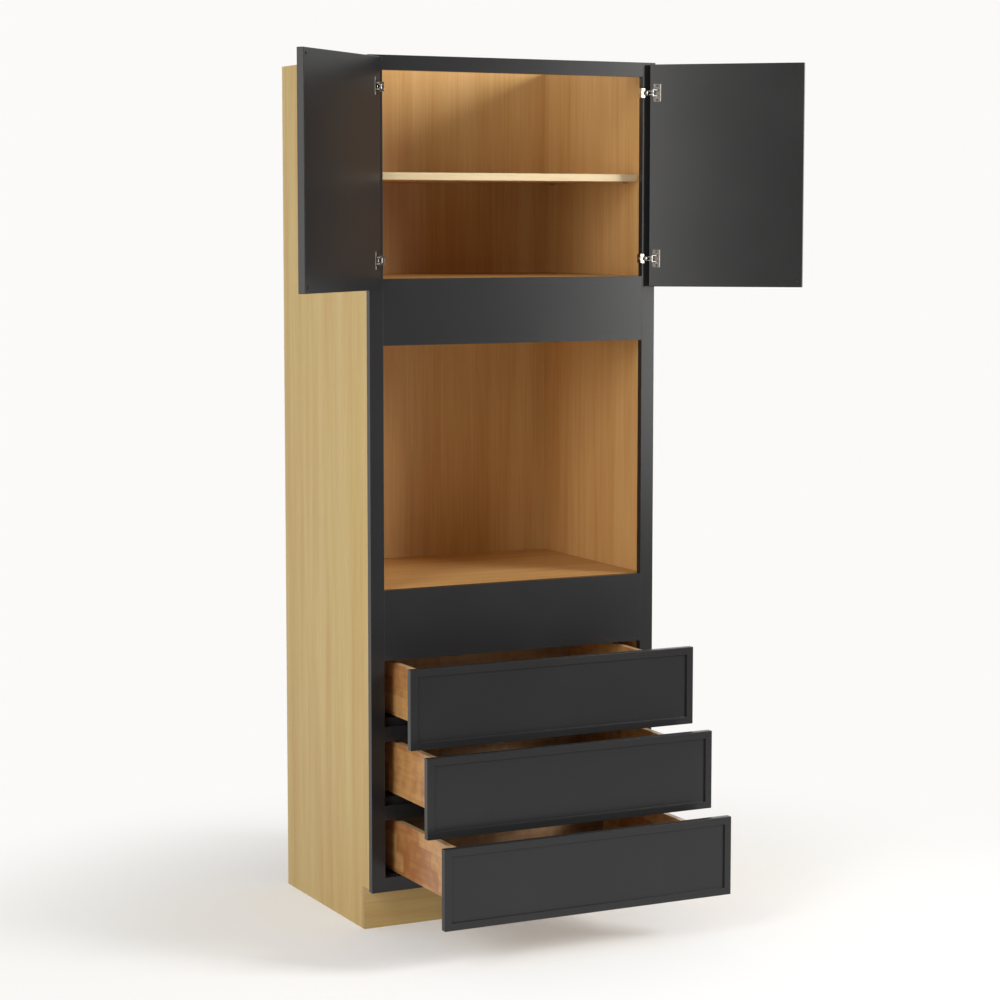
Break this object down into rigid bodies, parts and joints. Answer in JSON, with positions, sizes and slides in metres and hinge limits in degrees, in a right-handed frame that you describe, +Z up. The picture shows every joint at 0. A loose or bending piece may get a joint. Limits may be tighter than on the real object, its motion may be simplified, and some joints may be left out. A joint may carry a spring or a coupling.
{
  "type": "oven pantry cabinet",
  "caption": "Tall face-frame kitchen cabinet with an open bay for a built-in oven, a double-door cupboard with a shelf above it and a stack of drawers on undermount slides below.",
  "frame": {"origin": "on the floor, on the centre line, in the plane of the back that stands against the wall", "axes": "+X to the right seen from the front, +Y into the wall, +Z up"},
  "size_m": [1.4442, 1.0396, 2.286],
  "materials": {
    "dark_finish": "satin charcoal paint on hardwood",
    "maple_plywood": "clear satin coat on light maple veneer",
    "drawer_wood": "clear satin coat on finger-jointed solid wood",
    "drawer_plywood": "clear satin coat on thin plywood",
    "nickel": "nickel plate",
    "zinc_steel": "zinc plate",
    "screw_steel": "zinc plate",
    "clear_rubber": "soft clear"
  },
  "bodies": {
    "cabinet": {"left_side_panel": "maple_plywood", "right_side_panel": "maple_plywood", "back_panel": "maple_plywood", "top_corner_braces": "maple_plywood", "upper_deck": "maple_plywood", "oven_deck": "maple_plywood", "bottom_deck": "maple_plywood", "toe_kick": "maple_plywood", "oven_deck_cleats": "maple_plywood", "drawer_runners": "dark_finish", "adjustable_shelf": "maple_plywood", "left_stile": "dark_finish", "right_stile": "dark_finish", "bottom_rail": "dark_finish", "lower_drawer_rail": "dark_finish", "upper_drawer_rail": "dark_finish", "oven_base_rail": "dark_finish", "middle_rail": "dark_finish", "top_rail": "dark_finish", "shelf_pins": "nickel", "slide_fixed_channels": "zinc_steel", "hinge_bases": "nickel", "cabinet_screws": "screw_steel"},
    "left_hinge_link": {"left_hinge_links": "nickel", "left_hinge_pins": "nickel"},
    "left_door": {"left_door_panel": "dark_finish", "left_hinge_cups": "nickel", "left_cup_screws": "screw_steel", "left_door_bumpers": "clear_rubber"},
    "right_hinge_link": {"right_hinge_links": "nickel", "right_hinge_pins": "nickel"},
    "right_door": {"right_door_panel": "dark_finish", "right_hinge_cups": "nickel", "right_cup_screws": "screw_steel", "right_door_bumpers": "clear_rubber"},
    "lower_drawer": {"lower_drawer_front": "dark_finish", "lower_drawer_box_front": "drawer_wood", "lower_drawer_box_back": "drawer_wood", "lower_drawer_box_sides": "drawer_wood", "lower_drawer_bottom": "drawer_plywood", "lower_drawer_slide_channels": "zinc_steel", "lower_drawer_front_screws": "screw_steel"},
    "lower_slide": {"lower_slide_middles": "zinc_steel"},
    "middle_drawer": {"middle_drawer_front": "dark_finish", "middle_drawer_box_front": "drawer_wood", "middle_drawer_box_back": "drawer_wood", "middle_drawer_box_sides": "drawer_wood", "middle_drawer_bottom": "drawer_plywood", "middle_drawer_slide_channels": "zinc_steel", "middle_drawer_front_screws": "screw_steel"},
    "middle_slide": {"middle_slide_middles": "zinc_steel"},
    "upper_drawer": {"upper_drawer_front": "dark_finish", "upper_drawer_box_front": "drawer_wood", "upper_drawer_box_back": "drawer_wood", "upper_drawer_box_sides": "drawer_wood", "upper_drawer_bottom": "drawer_plywood", "upper_drawer_slide_channels": "zinc_steel", "upper_drawer_front_screws": "screw_steel"},
    "upper_slide": {"upper_slide_middles": "zinc_steel"}
  },
  "joints": [
    {"name": "left_link_turn", "type": "hinge", "parent": "cabinet", "child": "left_hinge_link", "pos_m": [-0.389, -0.619, 1.98515], "axis": [0, 0, 1], "range_deg": [-38.01, 0.74]},
    {"name": "left_door_swing", "type": "hinge", "parent": "left_hinge_link", "child": "left_door", "pos_m": [-0.40289, -0.6268, 1.98515], "axis": [0, 0, -1], "range_deg": [-178.3, 3.43]},
    {"name": "right_link_turn", "type": "hinge", "parent": "cabinet", "child": "right_hinge_link", "pos_m": [0.389, -0.619, 1.98515], "axis": [0, 0, -1], "range_deg": [-38.01, 0.74]},
    {"name": "right_door_swing", "type": "hinge", "parent": "right_hinge_link", "child": "right_door", "pos_m": [0.40289, -0.6268, 1.98515], "axis": [0, 0, 1], "range_deg": [-178.3, 3.43]},
    {"name": "lower_drawer_slide", "type": "slide", "parent": "cabinet", "child": "lower_drawer", "axis": [0, -1, 0], "range_m": [-0.409, 0.091]},
    {"name": "lower_channel_slide", "type": "slide", "parent": "cabinet", "child": "lower_slide", "axis": [0, -1, 0], "range_m": [-0.20451, 0.04551]},
    {"name": "middle_drawer_slide", "type": "slide", "parent": "cabinet", "child": "middle_drawer", "axis": [0, -1, 0], "range_m": [-0.309, 0.191]},
    {"name": "middle_channel_slide", "type": "slide", "parent": "cabinet", "child": "middle_slide", "axis": [0, -1, 0], "range_m": [-0.15451, 0.09551]},
    {"name": "upper_drawer_slide", "type": "slide", "parent": "cabinet", "child": "upper_drawer", "axis": [0, -1, 0], "range_m": [-0.21, 0.29]},
    {"name": "upper_channel_slide", "type": "slide", "parent": "cabinet", "child": "upper_slide", "axis": [0, -1, 0], "range_m": [-0.10501, 0.14501]}
  ],
  "couplings": [
    {"joint": "left_link_turn", "follows": "left_door_swing", "ratio": 0.21312},
    {"joint": "right_link_turn", "follows": "right_door_swing", "ratio": 0.21312},
    {"joint": "lower_channel_slide", "follows": "lower_drawer_slide", "ratio": 0.5},
    {"joint": "middle_channel_slide", "follows": "middle_drawer_slide", "ratio": 0.5},
    {"joint": "upper_channel_slide", "follows": "upper_drawer_slide", "ratio": 0.5}
  ]
}
